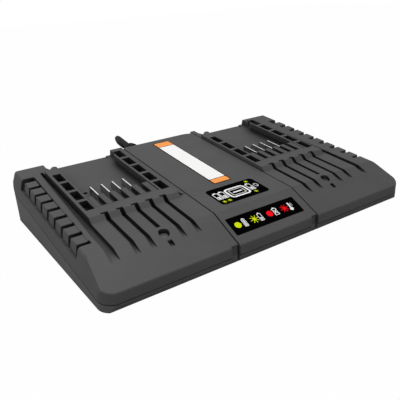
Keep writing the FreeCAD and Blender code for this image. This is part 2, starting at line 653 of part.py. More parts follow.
def strain_relief():
    """Tapered rubber sleeve with rings, from inside the back wall to where the cord runs free."""
    way = V(*LEAD_ROUTE[0]) - V(*RELIEF_ROOT)
    length = way.Length
    way.normalize()
    root = V(*RELIEF_ROOT)
    body = Part.makeCylinder(RELIEF_R[0], 8, root - way * 7.5, way)
    flange = Part.makeCylinder(RELIEF_R[0] + 2.2, 2.4, root - way * 7.5, way)
    body = body.fuse(flange.common(upper_body(-CENTRE_X, CENTRE_X, TOP_H - WALL, WALL)))
    taper = Part.makeCone(RELIEF_R[0], RELIEF_R[1], length, root, way)
    grooves = []
    for i in range(RELIEF_RINGS):
        at = root + way * (5 + i * (length - 7) / RELIEF_RINGS)
        core = Part.makeCylinder(CORD_D / 2 + 0.55, 1.1, at, way)
        grooves.append(Part.makeCylinder(9, 1.1, at, way).cut(core))
    return cut(body.fuse(taper), grooves)


def coil_point(deg, drop=0.0):
    """Centre of the cord in the coil at an angle, clockwise from +Y."""
    half = COIL_TURNS * 180
    radius = COIL_MIN_R + COIL_PITCH * abs(deg - half) / 360
    climb = min(max((deg - half + 90) / 180, 0), 1)
    z = COIL_BOTTOM + COIL_PITCH * (1 - math.cos(math.pi * climb)) / 2
    turn = math.radians(deg)
    return V(COIL_CENTRE[0] + radius * math.sin(turn), COIL_CENTRE[1] + radius * math.cos(turn), z)


def coil_tangent(deg):
    half = COIL_TURNS * 180
    if abs(deg - half) < 0.01:
        way = coil_point(deg + 0.5) - coil_point(deg - 0.5)
    elif deg in (0, 2 * half):
        turn = math.radians(deg)
        way = V(math.cos(turn), -math.sin(turn), 0)
    else:
        way = coil_point(deg + 0.05) - coil_point(deg - 0.05)
    way.normalize()
    return way


def arc_edge(start, corner, end):
    """Circular arc from start to end, tangent to the lines that meet at the corner."""
    middle = (start + end) * 0.5
    toward = corner - middle
    half_chord = (end - start).Length / 2
    angle = math.atan2(toward.Length, half_chord)
    toward.normalize()
    return Part.Arc(start, middle + toward * (half_chord * math.tan(angle / 2)), end).toShape()


def biarc(p0, t0, p1, t1):
    v = p1 - p0
    t = t0 + t1
    a = 2 * (1 - t0.dot(t1))
    reach = (-v.dot(t) + math.sqrt(v.dot(t) ** 2 + a * v.dot(v))) / a
    q0, q1 = p0 + t0 * reach, p1 - t1 * reach
    join = (q0 + q1) * 0.5
    return [arc_edge(p0, q0, join), arc_edge(join, q1, p1)]


def coil_path():
    degs = [COIL_TURNS * 360 * i / COIL_STEPS for i in range(COIL_STEPS + 1)]
    start, end = coil_point(degs[0]), coil_point(degs[-1])
    edges = [Part.makeLine(start - coil_tangent(degs[0]) * CORD_D, start)]
    for a, b in zip(degs, degs[1:]):
        edges += biarc(coil_point(a), coil_tangent(a), coil_point(b), coil_tangent(b))
    edges.append(Part.makeLine(end, end + coil_tangent(degs[-1]) * COIL_TAIL))
    return edges


def tube(edges):
    wire = Part.Wire(edges)
    first = edges[0]
    start = first.valueAt(first.FirstParameter)
    way = first.tangentAt(first.FirstParameter)
    ring = Part.Wire(Part.makeCircle(CORD_D / 2, start, way))
    return wire.makePipeShell([ring], True, False)


def lead_path():
    """Straight runs joined by tangent arcs, from the strain relief to the coil."""
    end = coil_point(0) - coil_tangent(0) * CORD_D
    points = [V(*p) for p in LEAD_ROUTE] + [end]
    edges, radii = [], []
    here = points[0]
    for before, at, after in zip(points, points[1:], points[2:]):
        a, b = at - before, after - at
        half_turn = a.getAngle(b) / 2
        back = 0.45 * min(a.Length, b.Length)
        radii.append(back / math.tan(half_turn))
        u, w = V(a), V(b)
        u.normalize()
        w.normalize()
        edges += [Part.makeLine(here, at - u * back), arc_edge(at - u * back, at, at + w * back)]
        here = at + w * back
    edges.append(Part.makeLine(here, end))
    print("lead radii", [round(r, 1) for r in radii])
    print("lead runs", [round((b - a).Length, 1) for a, b in zip(points, points[1:])])
    return edges


def least_gap(edges):
    """Least clear distance of the coil to itself, on points along it."""
    points, along = [], []
    run = 0.0
    for edge in edges:
        for p in edge.discretize(Distance=2.0):
            if points and (p - points[-1]).Length < 1e-6:
                continue
            run += (p - points[-1]).Length if points else 0
            points.append(p)
            along.append(run)
    least = 1e9
    for i, p in enumerate(points):
        for j in range(i + 1, len(points)):
            if along[j] - along[i] > 25:
                least = min(least, (p - points[j]).Length)
    return least - CORD_D


def coil_tie():
    """Band round the bundle of turns."""
    low, high = COIL_BOTTOM - CORD_D / 2 - TIE_GAP, COIL_BOTTOM + COIL_PITCH + CORD_D / 2 + TIE_GAP
    inner = COIL_MIN_R - CORD_D / 2 - 0.6
    outer = COIL_MIN_R + COIL_PITCH * COIL_TURNS / 2 + CORD_D / 2 + TIE_GAP
    hole = box(-TIE_W, TIE_W, inner, outer, low, high)
    body = box(-TIE_W / 2, TIE_W / 2, inner - TIE_T, outer + TIE_T, low - TIE_T, high + TIE_T)
    band = body.cut(hole)
    band.rotate(V(0, 0, 0), V(0, 0, 1), -TIE_DEG)
    return band.translated(V(COIL_CENTRE[0], COIL_CENTRE[1], 0))


def plug():
    """Flat two-pin plug at the end of the coil, and its pins."""
    last = COIL_TURNS * 360
    start = coil_point(last) + coil_tangent(last) * COIL_TAIL
    sections = [(0, 6.5, 6.5), (PLUG_NECK, 10, 9), (PLUG_NECK + 6, PLUG_WIDTH, PLUG_THICKNESS),
                (PLUG_NECK + PLUG_LENGTH - 3, PLUG_WIDTH + 1.5, PLUG_THICKNESS)]
    wires = [Part.Wire(rounded_rectangle(w, t, 0.38 * min(w, t), at)) for at, w, t in sections]
    body = Part.makeLoft(wires, True, True)
    pins = []
    for x in (-PIN_SPACING / 2, PIN_SPACING / 2):
        pin = Part.makeCylinder(PIN_R, PIN_LENGTH + 4, V(x, PLUG_NECK + PLUG_LENGTH - 7, 0), V(0, 1, 0))
        tip = max(pin.Edges, key=lambda e: e.CenterOfMass.y)
        pins.append(pin.makeChamfer(0.8, [tip]))
    pins = Part.makeCompound(pins)
    body = body.cut(pins)
    for shape in (body, pins):
        shape.rotate(V(0, 0, 0), V(0, 0, 1), -90 - last % 360)
        shape.translate(start)
    return body, pins


def rounded_rectangle(width, thickness, radius, y):
    w, t = width / 2, thickness / 2
    k = radius * (1 - math.sqrt(0.5))
    edges = []
    corners = [(w, t), (-w, t), (-w, -t), (w, -t)]
    for i, (x, z) in enumerate(corners):
        sx, sz = math.copysign(1, x), math.copysign(1, z)
        a, b = V(x, y, z - sz * radius), V(x - sx * radius, y, z)
        if i % 2:
            a, b = b, a
        edges.append(Part.Arc(a, V(x - sx * k, y, z - sz * k), b).toShape())
    lines = []
    for e, n in zip(edges, edges[1:] + edges[:1]):
        lines += [e, Part.makeLine(e.Vertexes[-1].Point, n.Vertexes[0].Point)]
    return lines


def main():
    os.makedirs("parts", exist_ok=True)
    nodes = {"left_cover": side_cover("left"), "right_cover": side_cover("right")}
    nodes["centre_cover"] = centre_cover()
    for name in ("left", "centre", "right"):
        nodes[name + "_base"] = base_shell(name)
        nodes[name + "_base_screws"] = base_screws(name)
        nodes[name + "_feet"] = feet(name)
    for name, dx in (("left", 0.0), ("right", BAY_PITCH)):
        nodes[name + "_contact_holder"] = contact_holder(dx)
        for i, blade in enumerate(BLADE_NAMES):
            nodes[name + "_blade_" + blade] = contact_blade(i, dx)
        nodes[name + "_bay_board"] = bay_board(dx)
        nodes[name + "_bay_parts"] = bay_parts(dx)
        nodes[name + "_bay_screws"] = Part.makeCompound([
            screw_up(x, y, rise(y) + BAY_BOARD_H, 4.6, 1.1, 2.2) for x, y in bay_screw_places(dx)])
        seat = rise(DECK_SCREW[1]) + DECK_SCREW_SEAT_H
        nodes[name + "_deck_screw"] = screw_down(DECK_SCREW[0] + dx, DECK_SCREW[1], seat, 14)
    nodes["name_plate"] = label(PLATE)
    nodes["display_label"] = label(DISPLAY)
    nodes["status_label"] = label(STATUS)
    nodes["light_pipes"] = light_pipes()
    nodes["light_board"] = light_board()
    nodes["main_board"] = main_board()
    nodes["main_board_screws"] = Part.makeCompound([
        screw_down(x, y, MAIN_BOARD[4] + BOARD_T, 5, 1.1, 2.2) for x, y in board_screw_places()])
    nodes.update(electronics())
    nodes["strain_relief"] = strain_relief()
    lead, coil = lead_path(), coil_path()
    nodes["cord_lead"] = tube(lead)
    nodes["cord_coil"] = tube(coil)
    for name, edges in (("lead", lead), ("coil", coil)):
        length = sum(e.Length for e in edges)
        section = math.pi * CORD_D ** 2 / 4
        print(name, "length", round(length, 1), "volume", round(nodes["cord_" + name].Volume, 1),
              "of", round(section * length, 1))
    print("least gap of the coil", round(least_gap(coil), 3))
    nodes["coil_tie"] = coil_tie()
    nodes["plug_body"], nodes["plug_pins"] = plug()
    for name, shape in nodes.items():
        if not shape.isValid() or not shape.Solids:
            print("CHECK", name)
        box_ = shape.BoundBox
        print(name, len(shape.Solids), round(shape.Volume), [round(v, 1) for v in (
            box_.XMin, box_.XMax, box_.YMin, box_.YMax, box_.ZMin, box_.ZMax)])
        shape.exportStep("parts/" + name + ".step")


main()
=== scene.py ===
"""Looks of a two-bay battery charger: camera, stage, finishes, printed panels, contacts and cord."""
import math

import bmesh
import bpy
from mathutils import Matrix, Vector


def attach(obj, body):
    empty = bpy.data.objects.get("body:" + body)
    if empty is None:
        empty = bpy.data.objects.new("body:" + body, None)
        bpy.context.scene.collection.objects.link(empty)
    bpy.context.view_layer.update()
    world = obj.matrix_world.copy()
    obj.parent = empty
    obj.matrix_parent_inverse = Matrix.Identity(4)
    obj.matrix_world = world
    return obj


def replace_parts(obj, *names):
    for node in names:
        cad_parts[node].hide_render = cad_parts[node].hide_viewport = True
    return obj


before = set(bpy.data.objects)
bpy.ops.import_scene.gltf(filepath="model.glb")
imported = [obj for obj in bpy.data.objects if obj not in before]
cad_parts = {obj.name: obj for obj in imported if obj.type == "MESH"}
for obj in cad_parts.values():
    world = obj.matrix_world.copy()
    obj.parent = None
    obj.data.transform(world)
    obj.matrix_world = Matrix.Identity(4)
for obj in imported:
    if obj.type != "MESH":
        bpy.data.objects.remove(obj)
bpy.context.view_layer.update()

bl_info = {
    "name": "Two-bay battery charger",
    "version": (1, 0, 0),
    "blender": (4, 5, 0),
    "location": "View3D > Sidebar > Charger",
    "description": "Finishes, printed panels, contacts, cord and studio for a two-bay battery charger",
    "category": "Object",
}

MM = 0.001
PART_Z0 = 0.0153          # parting plane above the table at y = 0
SLOPE = 0.112             # rise towards the back
TOP_H = 0.017             # centre unit's top above the parting plane
BAY_PITCH = 0.1455
CREASE_Y = -0.0564
FRONT_Y = -0.084
FRONT_EDGE_Z = 0.0128
SLOPED = Matrix(((1, 0, 0, 0), (0, 1, 0, 0), (0, SLOPE, 1, PART_Z0), (0, 0, 0, 1)))

# What is cut from the covers, in millimetres; heights are above the sloping parting plane
OPEN_H = 22.0             # above every roof
SIDE_X = 132.0            # clear of the outer wall
GRIP_FACE = ((126.9, 17.6), (128.2, 8.8), (140, 8.8), (140, 17.6))
GRIP_FRONT_Y, GRIP_LENGTH = -44.6, 107.1
GAP_COUNT, GAP_PITCH, GAP_BACK_Y = 9, 12.7, 59.6
GAP_INNER = (118.6, 10.9)     # inner end and floor of a gap on top
GAP_OUTER = (127.4, 9.0)      # the same in the side face
GROOVE_COUNT, GROOVE_X, GROOVE_PITCH = 5, -97.8, 11.1
POCKET_ROWS = ((-107.7, -101.5, 4), (-49.9, -43.2, 5))
POCKET_FRONT_Y, POCKET_PITCH, POCKET_FLOOR = -12.2, 16.7, 14.0
SEAM_X = 35.4, 35.8           # edges of the centre unit and of the side housings
DECK_SCREW = (-75.7, -58.0)


# Shader maths
class Shade:
    """A shader socket, or a number, that takes part in Python expressions."""

    def __init__(self, tree, value):
        self.tree = tree
        self.value = value

    def math(self, operation, *others):
        made = self.tree.nodes.new("ShaderNodeMath")
        made.operation = operation
        for index, value in enumerate((self, *others)):
            self.tree.feed(made.inputs[index], value)
        return Shade(self.tree, made.outputs[0])

    def __add__(self, other):
        return self.math("ADD", other)

    def __sub__(self, other):
        return self.math("SUBTRACT", other)

    def __mul__(self, other):
        return self.math("MULTIPLY", other)

    def step(self, low, high):
        """0 below low, 1 above high, smooth between."""
        made = self.tree.nodes.new("ShaderNodeMapRange")
        made.interpolation_type = "SMOOTHSTEP"
        self.tree.feed(made.inputs["Value"], self)
        made.inputs["From Min"].default_value = low
        made.inputs["From Max"].default_value = high
        return Shade(self.tree, made.outputs[0])


class Finish:
    """A material's node tree, with one method for any node."""

    def __init__(self, name):
        self.material = bpy.data.materials.new(name)
        self.material.use_nodes = True
        self.nodes = self.material.node_tree.nodes
        self.links = self.material.node_tree.links
        self.nodes.clear()
        self.shader = self.nodes.new("ShaderNodeBsdfPrincipled")
        out = self.nodes.new("ShaderNodeOutputMaterial")
        self.links.new(self.shader.outputs[0], out.inputs["Surface"])
        where = self.nodes.new("ShaderNodeTexCoord")
        self.place = where.outputs["Object"]
        apart = self.nodes.new("ShaderNodeSeparateXYZ")
        self.links.new(self.place, apart.inputs[0])
        self.x, self.y, self.z = [Shade(self, apart.outputs[i]) for i in range(3)]

    def feed(self, socket, value):
        if isinstance(value, Shade):
            value = value.value
        if isinstance(value, bpy.types.NodeSocket):
            self.links.new(value, socket)
        elif value is not None:
            if hasattr(socket.default_value, "__len__") and len(socket.default_value) == 4 and len(value) == 3:
                value = (*value, 1.0)
            socket.default_value = value

    def node(self, kind, settings=None, output=0, **inputs):
        made = self.nodes.new(kind)
        for name, value in (settings or {}).items():
            setattr(made, name, value)
        for name, value in inputs.items():
            self.feed(made.inputs[name.replace("_", " ")], value)
        return Shade(self, made.outputs[output])

    def noise(self, scale, detail=2.0, rough=0.5):
        return self.node("ShaderNodeTexNoise", Vector=self.place, Scale=scale, Detail=detail, Roughness=rough)

    def mix(self, factor, first, second):
        made = self.nodes.new("ShaderNodeMix")
        made.data_type = "RGBA"
        self.feed(made.inputs[0], factor)
        self.feed(made.inputs[6], first)
        self.feed(made.inputs[7], second)
        return Shade(self, made.outputs[2])

    def bump(self, height, strength, distance, normal=None):
        made = self.nodes.new("ShaderNodeBump")
        self.feed(made.inputs["Height"], height)
        made.inputs["Strength"].default_value = strength
        made.inputs["Distance"].default_value = distance
        if normal is not None:
            self.feed(made.inputs["Normal"], normal)
        return Shade(self, made.outputs[0])

    def set(self, **inputs):
        for name, value in inputs.items():
            self.feed(self.shader.inputs[name.replace("_", " ")], value)
        return self


def shade_of(colour, factor):
    return tuple(channel * factor for channel in colour)


# Finishes
def moulded_plastic(name, colour, rough, grain=9000.0, depth=0.35):
    """Spark-eroded moulded plastic: fine grain, faint cloudiness, a little shinier where it is handled, and painted
    shade that darkens the colour in recesses and next to walls.
    """
    f = Finish(name)
    cloud = f.noise(38.0, 3.0)
    fine = f.noise(grain * 0.12, 2.0, 0.6)
    pits = f.noise(grain * 0.4, 1.0, 0.5)
    base = f.mix(cloud.step(0.35, 0.68), shade_of(colour, 0.93), shade_of(colour, 1.07))
    base = f.mix(pits.step(0.42, 0.62) * 0.35, base, shade_of(colour, 1.35))
    # Painted shade: an occlusion mask darkens the colour to near black in recesses, channels and close to walls.
    recess = f.node("ShaderNodeAmbientOcclusion", {"samples": 8, "only_local": True}, output=1, Distance=0.04)
    wall = f.node("ShaderNodeAmbientOcclusion", {"samples": 8}, output=1, Distance=0.0015)
    painted_shade_mask = recess.step(0.38, 1.0) * wall.step(0.2, 0.85)
    base = f.mix(painted_shade_mask, shade_of(colour, 0.1), base)
    soft = f.node("ShaderNodeBevel", {"samples": 4}, Radius=0.0009)
    bumped = f.bump(fine * 0.4 + pits * 0.6, depth, 0.00006, soft)
    f.set(Base_Color=base, Roughness=cloud * 0.10 + (rough - 0.05) + pits * 0.04, Normal=bumped, IOR=1.5)
    return f.material


def bright_metal(name, colour, rough, brush_axis="x"):
    """Plated metal with drawn lines."""
    f = Finish(name)
    axis = {"x": (40.0, 2600.0, 2600.0), "y": (2600.0, 40.0, 2600.0), "z": (2600.0, 2600.0, 40.0)}[brush_axis]
    stretched = f.node("ShaderNodeMapping", Vector=f.place, Scale=axis)
    lines = f.node("ShaderNodeTexNoise", Vector=stretched, Scale=1.0, Detail=2.0)
    tint = f.mix(lines, shade_of(colour, 0.86), shade_of(colour, 1.08))
    f.set(Base_Color=tint, Metallic=1.0, Roughness=lines * 0.12 + (rough - 0.05), Normal=f.bump(lines, 0.25, 0.00002))
    return f.material


def contact_metal(name, side, edge):
    """Dull plated sheet with a painted highlight: faces that point up are coloured near white and made less metallic.
    """
    f = Finish(name)
    # Painted highlight: the second colour goes on faces that point up, where light catches the blades' top edges.
    facing = f.node("ShaderNodeNewGeometry", output=1)
    up = f.node("ShaderNodeSeparateXYZ", output=2, Vector=facing).step(0.7, 0.95)
    wear = f.noise(700.0, 2.0)
    tint = f.mix(wear, shade_of(side, 0.85), shade_of(side, 1.1))
    f.set(Base_Color=f.mix(up, tint, edge), Metallic=up * -0.75 + 1.0, Roughness=wear * 0.1 + 0.25,
          Normal=f.bump(wear, 0.2, 0.00002))
    return f.material


def printed_film(name, colour, rough, gloss=0.3):
    """Smooth printed film with a faint orange-peel surface."""
    f = Finish(name)
    peel = f.noise(900.0, 1.0)
    f.set(Base_Color=f.mix(peel, shade_of(colour, 0.95), shade_of(colour, 1.05)),
          Roughness=peel * 0.08 + rough, Normal=f.bump(peel, 0.12, 0.00004), Specular_IOR_Level=gloss)
    return f.material


def rubber(name, colour, rough=0.62):
    f = Finish(name)
    fine = f.noise(1800.0, 2.0)
    cloud = f.noise(60.0, 2.0)
    f.set(Base_Color=f.mix(cloud, shade_of(colour, 0.85), shade_of(colour, 1.15)),
          Roughness=cloud * 0.12 + rough - 0.06, Normal=f.bump(fine, 0.2, 0.00005),
          Specular_IOR_Level=0.22)
    return f.material


def solder_mask(name):
    """Green board of cloudy tone, with a faint grid in its bump."""
    f = Finish(name)
    grid = f.node("ShaderNodeTexBrick", Vector=f.place, Scale=180.0, Mortar_Size=0.03)
    cloud = f.noise(240.0, 2.0)
    green = f.mix(cloud.step(0.4, 0.6), (0.006, 0.10, 0.035), (0.01, 0.15, 0.055))
    f.set(Base_Color=green, Roughness=cloud * 0.1 + 0.35, Normal=f.bump(grid, 0.1, 0.00003))
    return f.material


def enamelled_copper(name):
    f = Finish(name)
    wound = f.node("ShaderNodeTexWave", Vector=f.place, Scale=420.0, Distortion=0.6)
    f.set(Base_Color=f.mix(wound, (0.25, 0.07, 0.02), (0.55, 0.22, 0.07)), Metallic=0.7,
          Roughness=wound * 0.1 + 0.3, Normal=f.bump(wound, 0.5, 0.0002))
    return f.material


FINISHES = {}


def finish(name):
    """The material of that name, made once."""
    if name not in FINISHES:
        s = bpy.context.scene.charger_finish
        makers = {
            "housing": lambda: moulded_plastic("housing plastic", tuple(s.housing), s.housing_roughness),
            "base": lambda: moulded_plastic("base plastic", tuple(s.base), s.housing_roughness),
            "holder": lambda: moulded_plastic("contact holder plastic", tuple(s.holder), 0.5),
            # The contact's second colour is a painted highlight for its upward faces.
            "contact": lambda: contact_metal("plated contact", (0.42, 0.42, 0.41), (0.98, 0.98, 0.96)),
            "screw": lambda: bright_metal("dark screw steel", (0.16, 0.16, 0.165), 0.38, "x"),
            "pin": lambda: bright_metal("plated pin", (0.78, 0.77, 0.74), 0.24, "x"),
            "foot": lambda: rubber("rubber foot", (0.02, 0.02, 0.021)),
            "cord": lambda: rubber("cord sheath", tuple(s.cord)),
            "plate": lambda: printed_film("plate film", tuple(s.plate), 0.3),
            "label": lambda: printed_film("label film", (0.0015, 0.0015, 0.0016), 0.5, 0.0),
            "ink_white": lambda: printed_film("white ink", (0.95, 0.95, 0.94), 0.45, 0.2),
            "ink_orange": lambda: printed_film("orange ink", tuple(s.orange), 0.38),
            "ink_green": lambda: printed_film("yellow-green ink", tuple(s.green), 0.45, 0.08),
            "ink_red": lambda: printed_film("red ink", tuple(s.red), 0.45, 0.08),
            "board": lambda: solder_mask("solder mask"),
            "winding": lambda: enamelled_copper("enamelled copper"),
            "heatsink": lambda: bright_metal("heat sink aluminium", (0.7, 0.7, 0.72), 0.35, "z"),
            "component": lambda: moulded_plastic("component epoxy", (0.02, 0.02, 0.022), 0.42),
            "lens": lambda: printed_film("clear light rod", (0.75, 0.78, 0.8), 0.15),
        }
        FINISHES[name] = makers[name]()
    return FINISHES[name]


# Mesh helpers
def add_piece(name, bm, material, body="root"):
    """Makes a mesh object of the bmesh at the origin, and lets it ride on a body."""
    bmesh.ops.recalc_face_normals(bm, faces=bm.faces)
    mesh = bpy.data.meshes.new(name)
    bm.to_mesh(mesh)
    bm.free()
    piece = bpy.data.objects.new(name, mesh)
    bpy.context.scene.collection.objects.link(piece)
    mesh.materials.append(finish(material))
    for polygon in mesh.polygons:
        polygon.use_smooth = False
    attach(piece, body)
    return piece


def top_plane(lift=0.0):
    """Matrix of the centre top: local x right, y up the slope, z out of the surface."""
    normal = Vector((0, -SLOPE, 1)).normalized()
    along = Vector((0, 1, SLOPE)).normalized()
    origin = Vector((0, 0, PART_Z0 + TOP_H)) + normal * lift
    return Matrix(((1, along.x, normal.x, origin.x), (0, along.y, normal.y, origin.y),
                   (0, along.z, normal.z, origin.z), (0, 0, 0, 1)))


def front_plane(lift=0.0):
    """Matrix of the front slope, with its origin on the front edge."""
    top_z = PART_Z0 + SLOPE * CREASE_Y + TOP_H
    pitch = (top_z - FRONT_EDGE_Z) / (CREASE_Y - FRONT_Y)
    normal = Vector((0, -pitch, 1)).normalized()
    along = Vector((0, 1, pitch)).normalized()
    origin = Vector((0, FRONT_Y, FRONT_EDGE_Z)) + normal * lift
    return Matrix(((1, along.x, normal.x, origin.x), (0, along.y, normal.y, origin.y),
                   (0, along.z, normal.z, origin.z), (0, 0, 0, 1)))


def flat_shape(bm, outline, matrix, thickness):
    """Adds a thin slab with an outline, given as (x, y) in millimetres on the plane."""
    verts = [bm.verts.new(matrix @ Vector((x * MM, y * MM, 0))) for x, y in outline]
    face = bm.faces.new(verts)
    grown = bmesh.ops.extrude_face_region(bm, geom=[face])
    lift = (matrix.to_3x3() @ Vector((0, 0, 1))) * thickness
    moved = [g for g in grown["geom"] if isinstance(g, bmesh.types.BMVert)]
    bmesh.ops.translate(bm, verts=moved, vec=lift)


def rounded_outline(x0, x1, y0, y1, radius, steps=6):
    points = []
    corners = ((x1 - radius, y0 + radius, -90), (x1 - radius, y1 - radius, 0),
               (x0 + radius, y1 - radius, 90), (x0 + radius, y0 + radius, 180))
    for cx, cy, start in corners:
        for i in range(steps + 1):
            a = math.radians(start + 90 * i / steps)
            points.append((cx + radius * math.cos(a), cy + radius * math.sin(a)))
    return points


def disc_outline(cx, cy, radius, steps=28):
    return [(cx + radius * math.cos(2 * math.pi * i / steps), cy + radius * math.sin(2 * math.pi * i / steps))
            for i in range(steps)]


def frame_shapes(x0, x1, y0, y1, radius, width):
    """Outlines of a rounded frame, as four bars and four corner arcs."""
    shapes = []
    outer = rounded_outline(x0, x1, y0, y1, radius)
    inner = rounded_outline(x0 + width, x1 - width, y0 + width, y1 - width, max(radius - width, 0.05))
    count = len(outer)
    for i in range(count):
        j = (i + 1) % count
        shapes.append([outer[i], outer[j], inner[j], inner[i]])
    return shapes


# Printed panels
def burst_shapes(cx, cy, radius, rays=8):
    """A small disc with rays round it."""
    shapes = [disc_outline(cx, cy, radius * 0.42)]
    for i in range(rays):
        a = math.radians(360 * i / rays + 11)
        out = Vector((math.cos(a), math.sin(a)))
        side = Vector((-out.y, out.x)) * radius * 0.08
        centre = Vector((cx, cy))
        near, far = centre + out * radius * 0.36, centre + out * radius * 1.05
        shapes.append([tuple(near - side), tuple(far - side), tuple(far + side), tuple(near + side)])
    return shapes


def battery_shapes(cx, cy, width, height, bars, total=4):
    """Upright battery outline with a cap and filled bars."""
    x0, x1, y0, y1 = cx - width / 2, cx + width / 2, cy - height / 2, cy + height / 2
    shapes = frame_shapes(x0, x1, y0, y1, width * 0.16, width * 0.13)
    cap = width * 0.22
    shapes.append([(cx - cap, y1 + 0.05), (cx + cap, y1 + 0.05), (cx + cap, y1 + height * 0.1),
                   (cx - cap, y1 + height * 0.1)])
    inner = width * 0.24
    step = (height - 2 * inner) / total
    for i in range(bars):
        low = y0 + inner + i * step
        shapes.append([(x0 + inner, low), (x1 - inner, low), (x1 - inner, low + step * 0.72),
                       (x0 + inner, low + step * 0.72)])
    return shapes


def thermometer_shapes(cx, cy, height):
    bulb = height * 0.2
    stem = height * 0.08
    shapes = [disc_outline(cx, cy - height / 2 + bulb, bulb)]
    shapes.append([(cx - stem, cy - height / 2 + bulb * 1.7), (cx + stem, cy - height / 2 + bulb * 1.7),
                   (cx + stem, cy + height / 2), (cx - stem, cy + height / 2)])
    for i in range(3):
        y = cy + height * (0.02 + 0.15 * i)
        shapes.append([(cx + stem * 2, y), (cx + stem * 4.6, y), (cx + stem * 4.6, y + height * 0.05),
                       (cx + stem * 2, y + height * 0.05)])
    return shapes


def warning_shapes(cx, cy, width, height):
    """Battery outline with a cross stroke through it."""
    shapes = battery_shapes(cx, cy, width, height, 0)
    for sign in (1, -1):
        half = Vector((width * 0.62 * sign, height * 0.42))
        side = Vector((-half.y, half.x)).normalized() * width * 0.09
        c = Vector((cx, cy))
        shapes.append([tuple(c - half - side), tuple(c + half - side), tuple(c + half + side), tuple(c - half + side)])
    return shapes


def ink(name, groups, matrix, thickness=0.00004):
    """One thin printed piece per ink colour; each group is (ink, outlines)."""
    for colour, outlines in groups:
        bm = bmesh.new()
        for outline in outlines:
            flat_shape(bm, outline, matrix, thickness)
        bmesh.ops.remove_doubles(bm, verts=bm.verts, dist=1e-7)
        add_piece(f"{name}_{colour}", bm, "ink_" + colour)


def slope_mm(y):
    """Distance up the front slope, from its front edge, of a point at y (mm)."""
    top_z = PART_Z0 + SLOPE * CREASE_Y + TOP_H
    pitch = (top_z - FRONT_EDGE_Z) / (CREASE_Y - FRONT_Y)
    return (y - FRONT_Y / MM) * math.sqrt(1 + pitch * pitch)


def slope_box(bm, x0, x1, y0, y1, h0, h1=OPEN_H):
    """Adds a block, in millimetres, whose heights are above the sloping parting plane."""
    made = bmesh.ops.create_cube(bm, size=1.0)["verts"]
    bmesh.ops.scale(bm, verts=made, vec=((x1 - x0) * MM, (y1 - y0) * MM, (h1 - h0) * MM))
    bmesh.ops.translate(bm, verts=made, vec=((x0 + x1) / 2 * MM, (y0 + y1) / 2 * MM, (h0 + h1) / 2 * MM))
    bmesh.ops.transform(bm, verts=made, matrix=SLOPED)


def grip_cutters(bm, side):
    """Steeper outer faces for the finger-grip ribs."""
    face = bm.faces.new([bm.verts.new((side * x * MM, 0, h * MM)) for x, h in GRIP_FACE])
    bmesh.ops.translate(bm, verts=face.verts, vec=(0, GRIP_FRONT_Y * MM, 0))
    grown = bmesh.ops.extrude_face_region(bm, geom=[face])
    moved = [g for g in grown["geom"] if isinstance(g, bmesh.types.BMVert)]
    bmesh.ops.translate(bm, verts=moved, vec=(0, GRIP_LENGTH * MM, 0))
    bmesh.ops.transform(bm, verts=list(face.verts) + moved, matrix=SLOPED)


def gap_cutters(bm, side, inner, floor):
    """Gaps between the grip ribs, from x = inner out to the side."""
    for i in range(GAP_COUNT):
        back = GAP_BACK_Y - i * GAP_PITCH
        x0, x1 = sorted((side * inner, side * SIDE_X))
        slope_box(bm, x0, x1, back - 3.3, back + (2.9 if i == 0 else 0.25), floor, 18.5)


def deck_cutters(bm, dx):
    """Hook at each groove's back end, notch before the deck screw and roomier rail pockets."""
    for i in range(GROOVE_COUNT):
        x = GROOVE_X + GROOVE_PITCH * i + dx
        slope_box(bm, x - 3.4, x + 1.5, -22.0, -20.2, 14.4)
    x = GROOVE_X + GROOVE_PITCH * 2 + dx
    slope_box(bm, x - 1.5, x + 1.7, -68.4, -64.0, 11.6)
    for x0, x1, count in POCKET_ROWS:
        for i in range(count):
            y = POCKET_FRONT_Y + POCKET_PITCH * i
            slope_box(bm, x0 + dx, x1 + dx, y - 0.6, y + 13.1, POCKET_FLOOR)


def seam_cutters(bm, name):
    """Thin slices off the faces at the seams, so that the seams show dark."""
    inner, outer = SEAM_X
    edges = {"left": (-outer,), "centre": (-inner, inner), "right": (outer,)}[name]
    for x in edges:
        inward = {"left": -1, "right": 1}.get(name, 1 if x < 0 else -1)
        x0, x1 = sorted((x - inward * 0.02, x + inward * 0.28))
        slope_box(bm, x0, x1, -90, 90, -30, 25)


def carved(name, cutters):
    """Copy of a carried-over cover with the cutters taken out of it."""
    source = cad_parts[name]
    bm = bmesh.new()
    bm.from_mesh(source.data)
    bmesh.ops.remove_doubles(bm, verts=bm.verts, dist=1e-6)
    mesh = bpy.data.meshes.new(name + "_detailed")
    bm.to_mesh(mesh)
    bm.free()
    piece = bpy.data.objects.new(name + "_detailed", mesh)
    bpy.context.scene.collection.objects.link(piece)
    for build in cutters:
        bm = bmesh.new()
        build(bm)
        bmesh.ops.recalc_face_normals(bm, faces=bm.faces)
        tool_mesh = bpy.data.meshes.new("cutter")
        bm.to_mesh(tool_mesh)
        bm.free()
        tool = bpy.data.objects.new("cutter", tool_mesh)
        bpy.context.scene.collection.objects.link(tool)
        cut = piece.modifiers.new("cut", "BOOLEAN")
        cut.operation = "DIFFERENCE"
        cut.solver = "EXACT"
        cut.use_self = True
        cut.object = tool
        graph = bpy.context.evaluated_depsgraph_get()
        result = bpy.data.meshes.new_from_object(piece.evaluated_get(graph))
        piece.modifiers.clear()
        piece.data = result
        bpy.data.objects.remove(tool)
    result.name = name + "_detailed"
    result.materials.clear()
    result.materials.append(finish("housing"))
    for polygon in result.polygons:
        polygon.use_smooth = False
    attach(piece, "root")
    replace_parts(piece, name)


